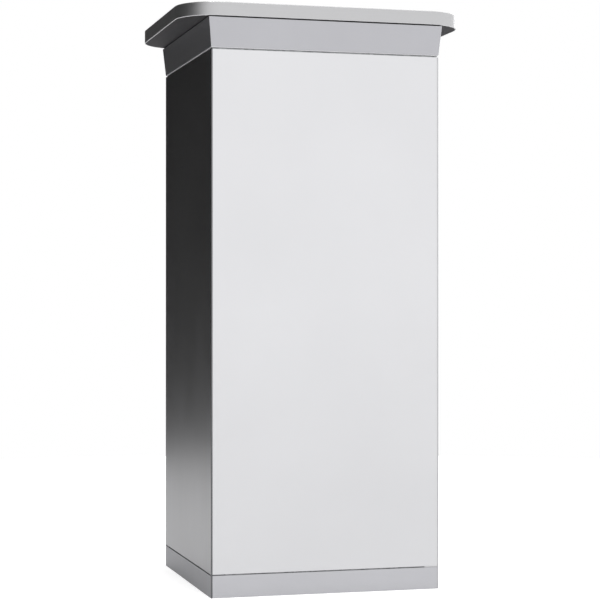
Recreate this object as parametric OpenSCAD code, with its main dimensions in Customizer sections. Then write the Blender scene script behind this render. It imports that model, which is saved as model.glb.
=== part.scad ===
// Cluster mailbox unit: a free-standing square column with a flared crown and an
// overhanging round-cornered cap. The front carries a hinged master door, and in it eight
// tenant doors, two parcel doors, a letter flap and a rod latch.
// Front is -Y, +Z is up, and the origin is the centre of the footprint on the ground.

/* [Cabinet] */
// Width of the column across its front
body_w = 600; // [560:10:760]
// Depth of the column from front to rear
body_d = 610; // [480:10:760]
// Height of the skin panels
panel_h = 1333; // [1280:1:1640]
// Thickness of the skin panels and plinth strips
skin_t = 2; // [1.5:0.5:3]
// Shadow gap above the plinth, under and over the crown
reveal = 3; // [2:0.5:5]

/* [Plinth and base] */
// Height of the plinth strips
plinth_h = 57; // [45:1:80]
// Thickness of the base plate
base_t = 5; // [4:1:8]
// Distance between the anchor holes across the width
anchor_x = 450; // [400:10:520]
// Distance between the anchor holes along the depth
anchor_y = 460; // [300:10:520]
// Radius of the anchor holes
anchor_r = 7; // [5:0.5:9]

/* [Crown and cap] */
// Height of the flared crown
crown_h = 78; // [60:1:110]
// How far the crown leans out at its top
crown_flare = 7.6; // [3:0.1:14]
// Thickness of the cap
cap_t = 35; // [28:1:50]
// Overhang of the cap past the front and the rear
cap_over_y = 76; // [30:1:120]
// Overhang of the cap past the two sides
cap_over_x = 11; // [9:1:40]
// Radius of the cap's corners in plan
cap_r = 104; // [40:1:130]
// Sheet thickness of the cap
cap_skin = 3; // [2:0.5:4]

/* [Corner posts] */
// Width of the post's nose that shows at each corner
nose_w = 3.2; // [2.8:0.1:5]
// Wall of the post's legs
post_t = 3; // [2:0.5:4]
// Length of the legs behind the skin panels
post_leg = 38; // [30:1:50]
// Length of the short legs behind the front frame
post_front_leg = 22; // [14:1:24]

/* [Master door] */
// Width of the front frame beside the master door
frame_side = 28; // [26:1:34]
// Height of the front frame over and under the master door
frame_rail = 24; // [22:1:34]
// Gap round the master door
door_gap = 3; // [2:0.5:4]
// Gap on the hinge side, where the hinge barrel sits
hinge_gap = 9; // [8.6:0.2:11]
// Sheet thickness of the master door
master_t = 3; // [2:0.5:3]
// Width of the master door's stiles
stile_w = 22; // [22:1:28]
// Width of the mullion between the two columns of doors
mullion_w = 26; // [22:1:34]
// Height of the rails between doors
rail_w = 16; // [14:1:22]
// Height of the rails at the master door's top and bottom
end_rail = 24; // [22:1:32]
// Height of the solid band that holds the letter slot and the master lock
top_row_h = 84; // [80:1:110]

/* [Tenant and parcel doors] */
// Rows of tenant doors
tenant_rows = 4; // [4:1:4]
// Height of a tenant door's opening
tenant_h = 130; // [110:1:145]
// Rows of parcel doors
parcel_rows = 2; // [2:1:2]
// Sheet thickness of the doors
leaf_t = 2.5; // [2:0.5:3]
// Gap round a door
leaf_gap = 1.5; // [1.2:0.1:2]
// Radius of the door's hinge barrel
barrel_r = 3.6; // [3.2:0.1:4]
// Radius of the door's hinge pin
pin_r = 1.5; // [1.2:0.1:1.8]
// Width of the letter slot
slot_w = 320; // [240:10:360]
// Height of the letter slot
slot_h = 32; // [24:1:36]

/* [Locks] */
// Radius of the cam lock's housing
lock_r = 8; // [7.5:0.25:9]
// Radius of the plug that turns in the housing
plug_r = 6; // [5:0.25:6.5]
// Length of the cam from the plug's axis to its tip
cam_len = 32; // [30:1:34]
// Distance from the opening's edge to the lock's axis
lock_inset = 22; // [20:1:24]

/* [Rod latch] */
// Teeth of the latch pinion
pinion_teeth = 16; // [16:2:16]
// Gear module of the pinion and the rod racks
gear_m = 1; // [1:1:1]
// Width of a latch rod
rod_w = 6; // [5:0.5:6]
// Depth of a latch rod
rod_d = 6; // [5:0.5:6]

/* [Compartments] */
// Sheet thickness of shelves and liner
shelf_t = 1.5; // [1:0.25:2]
// Space between the liner's back and the rear panel
rear_space = 45; // [30:5:80]

/* [Hidden] */
$fn = 48;
RUN = 0.05;        // radial clearance of a pin or plug that turns
APART = 0.05;      // gap between pieces that share a node
NEAR = 0.4;        // gap between a skin panel and the post's nose
EPS = 0.01;
OVER = 1;          // how far a cut runs past the face it opens

hw = body_w / 2;
hd = body_d / 2;
face = -hd;                                   // the plane of the front
z_panel = plinth_h + reveal;
z_panel_top = z_panel + panel_h;
z_crown = z_panel_top + reveal;
z_crown_top = z_crown + crown_h;
z_cap = z_crown_top + reveal;

// front frame's opening
fo_x = hw - frame_side;
fo_z0 = z_panel + frame_rail;
fo_z1 = z_panel_top - frame_rail;
frame_fold = 2;

// master door
md_x0 = -fo_x + hinge_gap;
md_x1 = fo_x - door_gap;
md_z0 = fo_z0 + door_gap;
md_z1 = fo_z1 - door_gap;
master_fold = 2;                              // wall of its folded edges
master_depth = 22;                            // front face to the back of its folds
cell_depth = 17;                              // front face to the back of the folds round a door
lip_w = 10;                                   // width of the fold that carries the gasket
gasket_t = 2.7;
stop_y = face + master_depth + gasket_t + 0.3; // the lip that the gasket meets
comp_y = stop_y + frame_fold;                 // front of the compartments

// columns and rows of openings in the master door
col_w = (md_x1 - md_x0 - 2 * stile_w - mullion_w) / 2;
function col_x0(c) = md_x0 + stile_w + c * (col_w + mullion_w);
top_row_z0 = md_z1 - end_rail - top_row_h;
function tenant_z0(r) = top_row_z0 - rail_w - tenant_h - r * (tenant_h + rail_w);
parcel_top = tenant_z0(tenant_rows - 1) - rail_w;
parcel_bottom = md_z0 + end_rail;
parcel_h = (parcel_top - parcel_bottom - (parcel_rows - 1) * rail_w) / parcel_rows;
function parcel_z0(r) = parcel_top - parcel_h - r * (parcel_h + rail_w);
wide_w = 2 * col_w + mullion_w;

// each opening: [left, bottom, width, height]
TENANTS = [for (r = [0:tenant_rows - 1]) for (c = [0:1]) [col_x0(c), tenant_z0(r), col_w, tenant_h]];
PARCELS = [for (r = [0:parcel_rows - 1]) [col_x0(0), parcel_z0(r), wide_w, parcel_h]];
OPENINGS = concat(TENANTS, PARCELS);

// door leaves and their hinges
pivot_in = barrel_r + 0.9;                    // opening's edge to the hinge axis
lug_h = 7;                                    // hinge lug at each end of an opening
leaf_fold = 10;                               // depth of a door's folded edges
number_recess = [56, 20, 0.6];                // shallow seat for the number plate

// cam locks
head_r = lock_r + 2;
head_t = 2;
housing_back = face + cell_depth - 0.5;
cam_t = 2;
cam_w = 12;
cam_y = face + cell_depth + 0.6;              // front of the cam, just behind the cell folds
tail = 6;                                     // square tail of a plug
nut_t = 2;

// liner and shelves
liner_x0 = col_x0(0) - 2;
liner_x1 = col_x0(1) + col_w + 2;
liner_y1 = hd - rear_space;
floor_z = parcel_bottom - 4;                  // top of the floor panel
liner_z0 = floor_z - shelf_t;
liner_z1 = z_panel_top - 2;
shelf_lip = rail_w / 2;
mullion_x = col_x0(1) - mullion_w / 2;
SHELF_Z = concat(
    [top_row_z0 - rail_w / 2],
    [for (r = [0:tenant_rows - 1]) tenant_z0(r) - rail_w / 2],
    [for (r = [0:parcel_rows - 2]) parcel_z0(r) - rail_w / 2]);

// continuous hinge of the master door
knuckle_r = 4;
hinge_pin_r = 2;
hinge_leaf_t = 1.2;
hinge_x = -fo_x + hinge_gap / 2;
hinge_end = 20;                               // bare edge above and under the hinge
knuckles = 21;
knuckle_gap = 0.5;
hinge_z0 = md_z0 + hinge_end;
hinge_len = md_z1 - md_z0 - 2 * hinge_end;
knuckle_pitch = hinge_len / knuckles;
hinge_step = knuckle_r + 0.6;                 // leaf starts this far behind the axis
hinge_leaf_back = face + 18;

// rod latch
pinion_r = pinion_teeth * gear_m / 2;
lock_x = md_x1 - stile_w - 1;
lock_z = md_z1 - end_rail - top_row_h / 2;
rod_y = face + 7;                             // front of the rods and the pinion
rod_travel = pinion_r * PI / 2;
rack_root = 1.25 * gear_m;
rack_tip = 0.9 * gear_m;
BACKLASH = 0.36;
upper_rod_x = lock_x - pinion_r - rack_root - rod_w;
lower_rod_x = lock_x + pinion_r + rack_root;
rack_half = pinion_r + 4;                     // rack length past the pinion's axis
rod_play = 0.4;
master_plug_r = 7;
master_housing_r = 11;
keeper = [30, 14, 3];
case_t = 1.5;
case_half_z = 26;
case_back = rod_y + rod_d + 1 + case_t;

// letter slot and flap
slot_x0 = md_x0 + 70;
slot_z0 = lock_z - slot_h / 2;
flap_pin_r = 1.5;
flap_barrel_r = 3;
flap_y = face + master_t + flap_barrel_r + 0.4;
flap_z = slot_z0 + slot_h + 8;
flap_side = 8;                                // flap's width past the slot at each end
flap_t = 1.5;

// cap and its frame
upstand_in = 25;
upstand_t = 3;
upstand_flange = 25;
soffit_t = 2;
cap_hx = hw + cap_over_x;
cap_hy = hd + cap_over_y;
bolt_r = 3;
bolt_hole_r = 3.4;
bolt_in = upstand_in + upstand_t + 12;
CAP_BOLTS = concat(
    [for (x = [-1, 1]) for (y = [-0.6, 0.6]) [x * (hw - bolt_in), y * hd]],
    [for (x = [-0.45, 0.45]) for (y = [-1, 1]) [x * hw, y * (hd - bolt_in)]]);

// panel studs: heights shared by the studs and the posts
stud_r = 2.5;
stud_hole_r = 2.8;
STUD_Z = [for (k = [0:3]) z_panel + 70 + k * (panel_h - 140) / 3];
stud_in = 24;                                 // outer corner to a stud
panel_strip = 12;                             // width of the strip behind a panel's edge
stud_len = post_t + 7;

base_in = skin_t + post_t + 0.3;
base_wall = 3;
bearer_w = 40;
bearer_x = hw - skin_t - panel_strip - 2;      // ends clear of the panels' strips
bearer_y = 180 * body_d / 610;

// ---------------------------------------------------------------- shared shapes

// A box from its lowest to its highest corner.
module box(a, b) {
    translate(a) cube(b - a);
}

// A rod or hole along Y.
module along_y(x, y0, y1, z, r) {
    translate([x, y0, z]) rotate([-90, 0, 0]) cylinder(r = r, h = y1 - y0);
}

// A rectangle with round corners, centred on the origin.
module round_rect(hx, hy, r) {
    square([2 * (hx - r), 2 * hy], center = true);
    square([2 * hx, 2 * (hy - r)], center = true);
    for (x = [-1, 1]) for (y = [-1, 1])
        translate([x * (hx - r), y * (hy - r)]) circle(r = r, $fn = 96);
}

// Four bars welded into a frame in plan, from the outer corners a to b, between the heights z0
// and z1. Each bar stays a solid of its own.
module frame_bars(a, b, wide, z0, z1) {
    for (x = [a[0], b[0] - wide]) box([x, a[1], z0], [x + wide, b[1], z1]);
    for (y = [a[1], b[1] - wide])
        box([a[0] + wide + APART, y, z0], [b[0] - wide - APART, y + wide, z1]);
}

// Four bars welded into a frame seen from the front, from the (x, z) corners a to b outside and
// c to d inside, between the depths y0 and y1.
module front_bars(a, b, c, d, y0, y1) {
    box([a[0], y0, a[1]], [c[0], y1, b[1]]);
    box([d[0], y0, a[1]], [b[0], y1, b[1]]);
    box([c[0] + APART, y0, a[1]], [d[0] - APART, y1, c[1]]);
    box([c[0] + APART, y0, d[1]], [d[0] - APART, y1, b[1]]);
}

// A rectangular frustum that stands on z = 0.
module frustum(hx0, hy0, hx1, hy1, h) {
    polyhedron(
        points = [
            [-hx0, -hy0, 0], [hx0, -hy0, 0], [hx0, hy0, 0], [-hx0, hy0, 0],
            [-hx1, -hy1, h], [hx1, -hy1, h], [hx1, hy1, h], [-hx1, hy1, h]],
        faces = [[0, 1, 2, 3], [7, 6, 5, 4], [0, 4, 5, 1], [1, 5, 6, 2], [2, 6, 7, 3], [3, 7, 4, 0]]);
}

// ---------------------------------------------------------------- base and plinth

// A plate with the anchor holes, four walls welded on it, and two channels that bear the floor,
// each one a web on two legs.
module base_pan() {
    x = hw - base_in;
    y = hd - base_in;
    z0 = base_t + APART;
    color("dimgray") {
        difference() {
            box([-x, -y, 0], [x, y, base_t]);
            for (sx = [-1, 1]) for (sy = [-1, 1])
                translate([sx * anchor_x / 2, sy * anchor_y / 2, -OVER])
                    cylinder(r = anchor_r, h = base_t + 2 * OVER);
        }
        frame_bars([-x, -y], [x, y], base_wall, z0, z_panel);
        for (s = [-1, 1]) translate([0, s * bearer_y, 0]) {
            box([-bearer_x, -bearer_w / 2, liner_z0 - base_wall], [bearer_x, bearer_w / 2, liner_z0]);
            for (y0 = [-bearer_w / 2, bearer_w / 2 - base_wall])
                box([-bearer_x, y0, z0], [bearer_x, y0 + base_wall, liner_z0 - base_wall - APART]);
        }
    }
}

// A strip across the front or the rear, or along one side, between the posts' noses.
module strip_x(side, z0, z1) {
    x = hw - nose_w - NEAR;
    y = side * (hd - skin_t / 2);
    translate([-x, y - skin_t / 2, z0]) cube([2 * x, skin_t, z1 - z0]);
}

module strip_y(side, z0, z1) {
    y = hd - nose_w - NEAR;
    x = side * (hw - skin_t / 2);
    translate([x - skin_t / 2, -y, z0]) cube([skin_t, 2 * y, z1 - z0]);
}

module plinth_front() color("silver") strip_x(-1, 0, plinth_h);
module plinth_rear() color("silver") strip_x(1, 0, plinth_h);
module plinth_left() color("silver") strip_y(-1, 0, plinth_h);
module plinth_right() color("silver") strip_y(1, 0, plinth_h);

// ---------------------------------------------------------------- posts and skin

// One post, drawn with its outer corner at the origin: a corner bar whose nose shows, and two
// legs welded to it along +X and +Y.
module post(leg_x, leg_y, studs_x, studs_y) {
    bar = skin_t + post_t;
    color("gray") difference() {
        union() {
            linear_extrude(height = z_panel_top) {
                difference() {
                    square(nose_w);
                    difference() {
                        square(1);
                        translate([1, 1]) circle(r = 1);
                    }
                }
                translate([skin_t, skin_t]) square(post_t);
            }
            box([bar + APART, skin_t, 0], [leg_x, bar, z_panel_top]);
            box([skin_t, bar + APART, 0], [bar, leg_y, z_panel_top]);
        }
        for (z = STUD_Z) {
            if (studs_x) along_y(stud_in, skin_t - OVER, skin_t + post_t + OVER, z, stud_hole_r);
            if (studs_y) translate([skin_t - OVER, stud_in, z]) rotate([0, 90, 0])
                cylinder(r = stud_hole_r, h = post_t + 2 * OVER);
        }
    }
}

module front_post() translate([-hw, -hd, 0]) post(post_front_leg, post_leg, false, true);
module rear_post() translate([-hw, hd, 0]) mirror([0, 1, 0]) post(post_leg, post_leg, true, true);

module post_front_left() front_post();
module post_front_right() mirror([1, 0, 0]) front_post();
module post_rear_left() rear_post();
module post_rear_right() mirror([1, 0, 0]) rear_post();

// A skin sheet on the rear, with a stiffening strip welded behind its top and bottom edges.
module skin_sheet(half, reach) {
    x = half - nose_w - NEAR;
    strip_x = half - post_leg - 5;
    box([-x, reach - skin_t, z_panel], [x, reach, z_panel_top]);
    for (z = [z_panel, z_panel_top - skin_t])
        box([-strip_x, reach - skin_t - panel_strip, z], [strip_x, reach - skin_t - APART, z + skin_t]);
}

module rear_panel() color("gainsboro") skin_sheet(hw, hd);
module left_panel() color("gainsboro") rotate([0, 0, 90]) skin_sheet(hd, hw);
module right_panel() color("gainsboro") rotate([0, 0, -90]) skin_sheet(hd, hw);

// A stud welded to a panel's back, along -Y, and its hexagon nut against the post's leg.
module stud() {
    rotate([90, 0, 0]) {
        translate([0, 0, APART]) cylinder(r = stud_r, h = stud_len - APART);
        translate([0, 0, post_t]) difference() {
            cylinder(r = 4.6, h = 4, $fn = 6);
            translate([0, 0, -OVER]) cylinder(r = stud_r + APART, h = 4 + 2 * OVER);
        }
    }
}

module panel_studs() {
    color("silver") for (z = STUD_Z) for (s = [-1, 1]) {
        translate([s * (hw - stud_in), hd - skin_t, z]) stud();
        for (t = [-1, 1]) translate([s * (hw - skin_t), t * (hd - stud_in), z])
            rotate([0, 0, -s * 90]) stud();
    }
}

// Where the latch rods pass through the folds over and under the master door.
module rod_path(x, z0, z1) {
    box([x - rod_play, rod_y - rod_play, z0], [x + rod_w + rod_play, rod_y + rod_d + rod_play, z1]);
}

// The sheet round the master door, the walls of its opening, and the stop behind the gasket.
module front_frame() {
    x = hw - nose_w - NEAR;
    f = frame_fold;
    color("gainsboro") difference() {
        union() {
            front_bars([-x, z_panel], [x, z_panel_top], [-fo_x, fo_z0], [fo_x, fo_z1], face, face + skin_t);
            front_bars([-fo_x - f, fo_z0 - f], [fo_x + f, fo_z1 + f], [-fo_x, fo_z0], [fo_x, fo_z1],
                face + skin_t + APART, comp_y);
            front_bars([-fo_x + APART, fo_z0 + APART], [fo_x - APART, fo_z1 - APART],
                [md_x0 + lip_w, md_z0 + lip_w], [md_x1 - lip_w, md_z1 - lip_w], stop_y, comp_y);
        }
        rod_path(upper_rod_x, fo_z1 - OVER, fo_z1 + f + OVER);
        rod_path(lower_rod_x, fo_z0 - f - OVER, fo_z0 + OVER);
    }
}

// Hardened plates that the latch rods shoot into.
module rod_keepers() {
    color("silver") {
        for (k = [[upper_rod_x, fo_z1 + frame_fold], [lower_rod_x, fo_z0 - frame_fold - keeper[2]]])
            difference() {
                box([k[0] + rod_w / 2 - keeper[0] / 2, face + skin_t + 0.5, k[1]],
                    [k[0] + rod_w / 2 + keeper[0] / 2, face + skin_t + 0.5 + keeper[1], k[1] + keeper[2]]);
                rod_path(k[0], k[1] - OVER, k[1] + keeper[2] + OVER);
            }
    }
}

// ---------------------------------------------------------------- top frame, crown and cap

// A plate that closes the column, and four walls on it with flanges that carry the cap.
module top_frame() {
    px = hw - skin_t - 2;
    py = hd - skin_t - 2;
    ux = hw - upstand_in;
    uy = hd - upstand_in;
    t = upstand_t + APART;
    color("dimgray") {
        box([-px, -py, z_panel_top], [px, py, z_crown]);
        frame_bars([-ux, -uy], [ux, uy], upstand_t, z_crown + APART, z_cap);
        difference() {
            frame_bars([-ux + t, -uy + t], [ux - t, uy - t], upstand_flange - t, z_cap - upstand_t, z_cap);
            for (p = CAP_BOLTS) translate([p[0], p[1], z_cap - upstand_t - OVER])
                cylinder(r = bolt_hole_r, h = upstand_t + 2 * OVER);
        }
    }
}

module crown_fascia() {
    wall = skin_t;
    lip = upstand_in - 1;
    color("silver") translate([0, 0, z_crown]) {
        difference() {
            frustum(hw, hd, hw + crown_flare, hd + crown_flare, crown_h);
            translate([0, 0, wall]) frustum(
                hw - wall + crown_flare * wall / crown_h,
                hd - wall + crown_flare * wall / crown_h,
                hw - wall + crown_flare * (crown_h + OVER) / crown_h,
                hd - wall + crown_flare * (crown_h + OVER) / crown_h, crown_h + OVER - wall);
            box([-hw + lip, -hd + lip, -OVER], [hw - lip, hd - lip, wall + OVER]);
        }
    }
}

module cap_shell() {
    color("silver") difference() {
        translate([0, 0, z_cap]) linear_extrude(height = cap_t) round_rect(cap_hx, cap_hy, cap_r);
        translate([0, 0, z_cap - OVER]) linear_extrude(height = cap_t - cap_skin + OVER)
            round_rect(cap_hx - cap_skin, cap_hy - cap_skin, cap_r - cap_skin);
    }
}

module cap_soffit() {
    inset = cap_skin + 0.3;
    color("silver") difference() {
        translate([0, 0, z_cap]) linear_extrude(height = soffit_t)
            round_rect(cap_hx - inset, cap_hy - inset, cap_r - inset);
        for (p = CAP_BOLTS) translate([p[0], p[1], z_cap - OVER])
            cylinder(r = bolt_hole_r, h = soffit_t + 2 * OVER);
    }
}

// Two square tubes that hold the cap's top off its soffit.
module cap_stiffeners() {
    tube = cap_t - cap_skin - soffit_t;
    wall = 2;
    half = cap_hy - cap_skin - 20;
    color("dimgray") for (s = [-1, 1]) translate([s * hw / 4, 0, z_cap + soffit_t]) difference() {
        box([-tube / 2, -half, 0], [tube / 2, half, tube]);
        box([-tube / 2 + wall, -half - OVER, wall], [tube / 2 - wall, half + OVER, tube - wall]);
    }
}

module cap_bolts() {
    head = 4;
    nut = 5;
    color("silver") for (p = CAP_BOLTS) translate([p[0], p[1], z_cap]) {
        translate([0, 0, -upstand_t - head]) cylinder(r = 5.8, h = head, $fn = 6);
        translate([0, 0, -upstand_t - EPS]) cylinder(r = bolt_r, h = upstand_t + soffit_t + nut + 2);
        translate([0, 0, soffit_t]) difference() {
            cylinder(r = 5.8, h = nut, $fn = 6);
            translate([0, 0, -OVER]) cylinder(r = bolt_r + APART, h = nut + 2 * OVER);
        }
    }
}

// ---------------------------------------------------------------- compartments

// Flanges behind the front frame's stop, two sides and a back, riveted at the corners.
module compartment_liner() {
    t = shelf_t;
    color("lightgray") {
        for (x = [[-fo_x, liner_x0 - t - APART], [liner_x1 + t + APART, fo_x]])
            box([x[0], comp_y, liner_z0], [x[1], comp_y + t, liner_z1]);
        for (x = [liner_x0 - t, liner_x1]) box([x, comp_y, liner_z0], [x + t, liner_y1 + t, liner_z1]);
        box([liner_x0 + APART, liner_y1, liner_z0], [liner_x1 - APART, liner_y1 + t, liner_z1]);
    }
}

// A sheet between the liner's sides with its front edge turned down.
module shelf(z, lip) {
    box([liner_x0, comp_y, z - shelf_t], [liner_x1, liner_y1, z]);
    box([liner_x0, comp_y, z - lip], [liner_x1, comp_y + shelf_t, z]);
}

module compartment_shelves() {
    color("lightgray") for (z = SHELF_Z) shelf(z + shelf_t / 2, shelf_lip);
}

module floor_panel() {
    color("lightgray") shelf(floor_z, shelf_lip);
}

// Upright sheets between the two columns, one to a tenant row.
module column_dividers() {
    color("lightgray") for (k = [0:tenant_rows - 1])
        box([mullion_x - shelf_t / 2, comp_y + shelf_t, SHELF_Z[k + 1] + shelf_t / 2],
            [mullion_x + shelf_t / 2, liner_y1, SHELF_Z[k] - shelf_t / 2]);
}

// ---------------------------------------------------------------- continuous hinge

function knuckle_z(k) = hinge_z0 + k * knuckle_pitch;

// Every second knuckle from the first one given, with the tab that ties it to its leaf.
module hinge_half(first, side) {
    x_out = hinge_x + side * hinge_gap / 2;
    x0 = min(x_out, x_out - side * hinge_leaf_t);
    difference() {
        union() {
            box([x0, face + hinge_step, hinge_z0],
                [x0 + hinge_leaf_t, hinge_leaf_back, hinge_z0 + hinge_len]);
            for (k = [first:2:knuckles - 1]) translate([0, 0, knuckle_z(k) + knuckle_gap / 2]) {
                translate([hinge_x, face, 0]) cylinder(r = knuckle_r, h = knuckle_pitch - knuckle_gap);
                translate([x0, face, 0])
                    cube([hinge_leaf_t, hinge_step + EPS, knuckle_pitch - knuckle_gap]);
            }
        }
        translate([hinge_x, face, hinge_z0 - OVER])
            cylinder(r = hinge_pin_r, h = hinge_len + 2 * OVER);
    }
}

module cabinet_hinge_leaf() color("silver") hinge_half(0, -1);
module door_hinge_leaf() color("silver") hinge_half(1, 1);

module master_hinge_pin() {
    color("gray") translate([hinge_x, face, hinge_z0 - 2])
        cylinder(r = hinge_pin_r - RUN, h = hinge_len + 4);
}

// ---------------------------------------------------------------- master door

// Sheet, folded edges and bars, welded edge to edge and ground flush. Each stays a solid of its own.
module master_frame() {
    plate_back = face + master_t;
    cell_back = face + cell_depth;
    edge_back = face + master_depth;
    wall_y = plate_back + APART;
    f = master_fold;
    x0 = col_x0(0);
    x1 = col_x0(1) + col_w;
    band_z0 = tenant_z0(0) + tenant_h;
    bars_z = concat([for (r = [0:tenant_rows - 1]) tenant_z0(r)],
        [for (r = [0:parcel_rows - 2]) parcel_z0(r)]);
    slot_x1 = slot_x0 + slot_w;
    slot_z1 = slot_z0 + slot_h;
    color("lightgray") difference() {
        union() {
            // front sheet: the stiles, the bottom rail, and the band round the letter slot
            for (x = [[md_x0, x0 - APART], [x1 + APART, md_x1]])
                box([x[0], face, md_z0], [x[1], plate_back, band_z0 - APART]);
            box([x0, face, md_z0], [x1, plate_back, parcel_bottom]);
            front_bars([md_x0, band_z0], [md_x1, md_z1], [slot_x0, slot_z0], [slot_x1, slot_z1],
                face, plate_back);
            // folded edges and the lip for the gasket
            front_bars([md_x0, md_z0], [md_x1, md_z1], [md_x0 + f, md_z0 + f], [md_x1 - f, md_z1 - f],
                wall_y, edge_back);
            front_bars([md_x0 + f + APART, md_z0 + f + APART], [md_x1 - f - APART, md_z1 - f - APART],
                [md_x0 + lip_w, md_z0 + lip_w], [md_x1 - lip_w, md_z1 - lip_w], edge_back - f, edge_back);
            // walls round the whole field of doors
            front_bars([x0 - f, parcel_bottom - f], [x1 + f, band_z0 + f], [x0, parcel_bottom], [x1, band_z0],
                wall_y, cell_back);
        }
        along_y(lock_x, face - OVER, plate_back + OVER, lock_z, master_housing_r);
        rod_path(upper_rod_x, md_z1 - f - OVER, md_z1 + OVER);
        rod_path(lower_rod_x, md_z0 - OVER, md_z0 + f + OVER);
    }
    // bars between the doors
    color("lightgray") {
        for (z = bars_z)
            box([x0 + APART, face, z - rail_w], [x1 - APART, cell_back, z]);
        for (r = [0:tenant_rows - 1])
            box([mullion_x - mullion_w / 2, face, tenant_z0(r) + APART],
                [mullion_x + mullion_w / 2, cell_back, tenant_z0(r) + tenant_h - APART]);
    }
    // bored lugs that hold the ends of the flap's pin, and of each door's pin
    color("lightgray") for (x = [slot_x0 - flap_side - 5, slot_x1 + flap_side + 1]) difference() {
        box([x, wall_y, flap_z - 4], [x + 4, flap_y + 3, flap_z + 4]);
        translate([x - OVER, flap_y, flap_z]) rotate([0, 90, 0])
            cylinder(r = flap_pin_r, h = 4 + 2 * OVER);
    }
    color("lightgray") for (o = OPENINGS) hinge_lugs(o);
}

// Two bored lugs at the hinge side of an opening.
module hinge_lugs(o) {
    for (z = [o[1] + APART, o[1] + o[3] - lug_h - APART]) difference() {
        union() {
            translate([o[0] + pivot_in, face, z]) cylinder(r = barrel_r, h = lug_h);
            box([o[0] + APART, face, z], [o[0] + pivot_in, face + 2, z + lug_h]);
        }
        translate([o[0] + pivot_in, face, z - OVER]) cylinder(r = pin_r, h = lug_h + 2 * OVER);
    }
}

module leaf_hinge_pins() {
    color("silver") for (o = OPENINGS)
        translate([o[0] + pivot_in, face, o[1] + 1]) cylinder(r = pin_r - RUN, h = o[3] - 2);
}

// Four strips of soft rubber on the lip, butted at the corners.
module door_gasket() {
    y0 = face + master_depth;
    w = lip_w - 1;
    color("black") front_bars([md_x0 + 1, md_z0 + 1], [md_x1 - 1, md_z1 - 1],
        [md_x0 + w, md_z0 + w], [md_x1 - w, md_z1 - w], y0, y0 + gasket_t);
}

// ---------------------------------------------------------------- letter slot and flap

// A drip visor over the slot, bent from one strip.
module slot_visor() {
    out = 12;
    t = 1.5;
    x0 = slot_x0 - 8;
    z0 = slot_z0 + slot_h + 2;
    color("silver") {
        box([x0, face - t, z0], [x0 + slot_w + 16, face, z0 + 14]);
        translate([x0, face - t + EPS, z0]) rotate([90, 0, 90])
            linear_extrude(height = slot_w + 16)
                polygon([[0, 0], [0, t], [-out, t - 3], [-out, -3]]);
    }
}

module flap_pin() {
    color("silver") translate([slot_x0 - flap_side - 5, flap_y, flap_z]) rotate([0, 90, 0])
        cylinder(r = flap_pin_r - RUN, h = slot_w + 2 * flap_side + 10);
}

module letter_flap() {
    x0 = slot_x0 - flap_side;
    w = slot_w + 2 * flap_side;
    color("lightgray") difference() {
        union() {
            translate([x0, flap_y, flap_z]) rotate([0, 90, 0]) cylinder(r = flap_barrel_r, h = w);
            box([x0, flap_y - flap_t / 2, slot_z0 - 6], [x0 + w, flap_y + flap_t / 2, flap_z]);
        }
        translate([x0 - OVER, flap_y, flap_z]) rotate([0, 90, 0])
            cylinder(r = flap_pin_r, h = w + 2 * OVER);
    }
}

// ---------------------------------------------------------------- rod latch

function rad(a) = a * 180 / PI;
function involute(rb, t) = [rb * (cos(rad(t)) + t * sin(rad(t))), rb * (sin(rad(t)) - t * cos(rad(t)))];
function turn(p, a) = [p[0] * cos(a) - p[1] * sin(a), p[0] * sin(a) + p[1] * cos(a)];

pressure = 20;
base_r = pinion_r * cos(pressure);
tip_r = pinion_r + rack_tip;
root_r = pinion_r - rack_root;
roll_tip = sqrt(pow(tip_r / base_r, 2) - 1);
roll_pitch = tan(pressure);
half_tooth = 90 / pinion_teeth - rad(BACKLASH / 4 / pinion_r) + rad(roll_pitch) - pressure;
FLANK = [for (k = [0:4]) turn(involute(base_r, roll_tip * k / 4), -half_tooth)];

// One pinion tooth in plan, with its axis along +X.
module pinion_tooth() {
    polygon(concat(
        [turn([root_r - 0.5, 0], -half_tooth)], FLANK,
        [for (k = [4:-1:0]) [FLANK[k][0], -FLANK[k][1]]],
        [turn([root_r - 0.5, 0], half_tooth)]));
}

module latch_pinion() {
    color("goldenrod") translate([lock_x, rod_y + rod_d, lock_z]) rotate([90, 0, 0]) difference() {
        linear_extrude(height = rod_d) {
            circle(r = root_r);
            for (k = [0:pinion_teeth - 1]) rotate(k * 360 / pinion_teeth) pinion_tooth();
        }
        translate([-tail / 2 - APART, -tail / 2 - APART, -OVER])
            cube([tail + 2 * APART, tail + 2 * APART, rod_d + 2 * OVER]);
    }
}

// Rack teeth in plan from z0 to z1, pitch line at x = 0, pointing along +X.
module rack_teeth(z0, z1) {
    pitch = PI * gear_m;
    half = pitch / 4 - BACKLASH / 4;
    first = ceil(z0 / pitch - 0.5);
    last = floor(z1 / pitch - 0.5);
    for (k = [first:last]) translate([0, (k + 0.5) * pitch]) polygon([
        [-rack_root - EPS, -half - rack_root * tan(pressure)], [rack_tip, -half + rack_tip * tan(pressure)],
        [rack_tip, half - rack_tip * tan(pressure)], [-rack_root - EPS, half + rack_root * tan(pressure)]]);
}

module upper_rod() {
    color("silver") {
        box([upper_rod_x, rod_y, lock_z - rack_half - rod_travel],
            [upper_rod_x + rod_w, rod_y + rod_d, md_z1]);
        translate([lock_x - pinion_r, rod_y + rod_d, lock_z]) rotate([90, 0, 0])
            linear_extrude(height = rod_d) rack_teeth(-rack_half - rod_travel, rack_half);
    }
}

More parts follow.
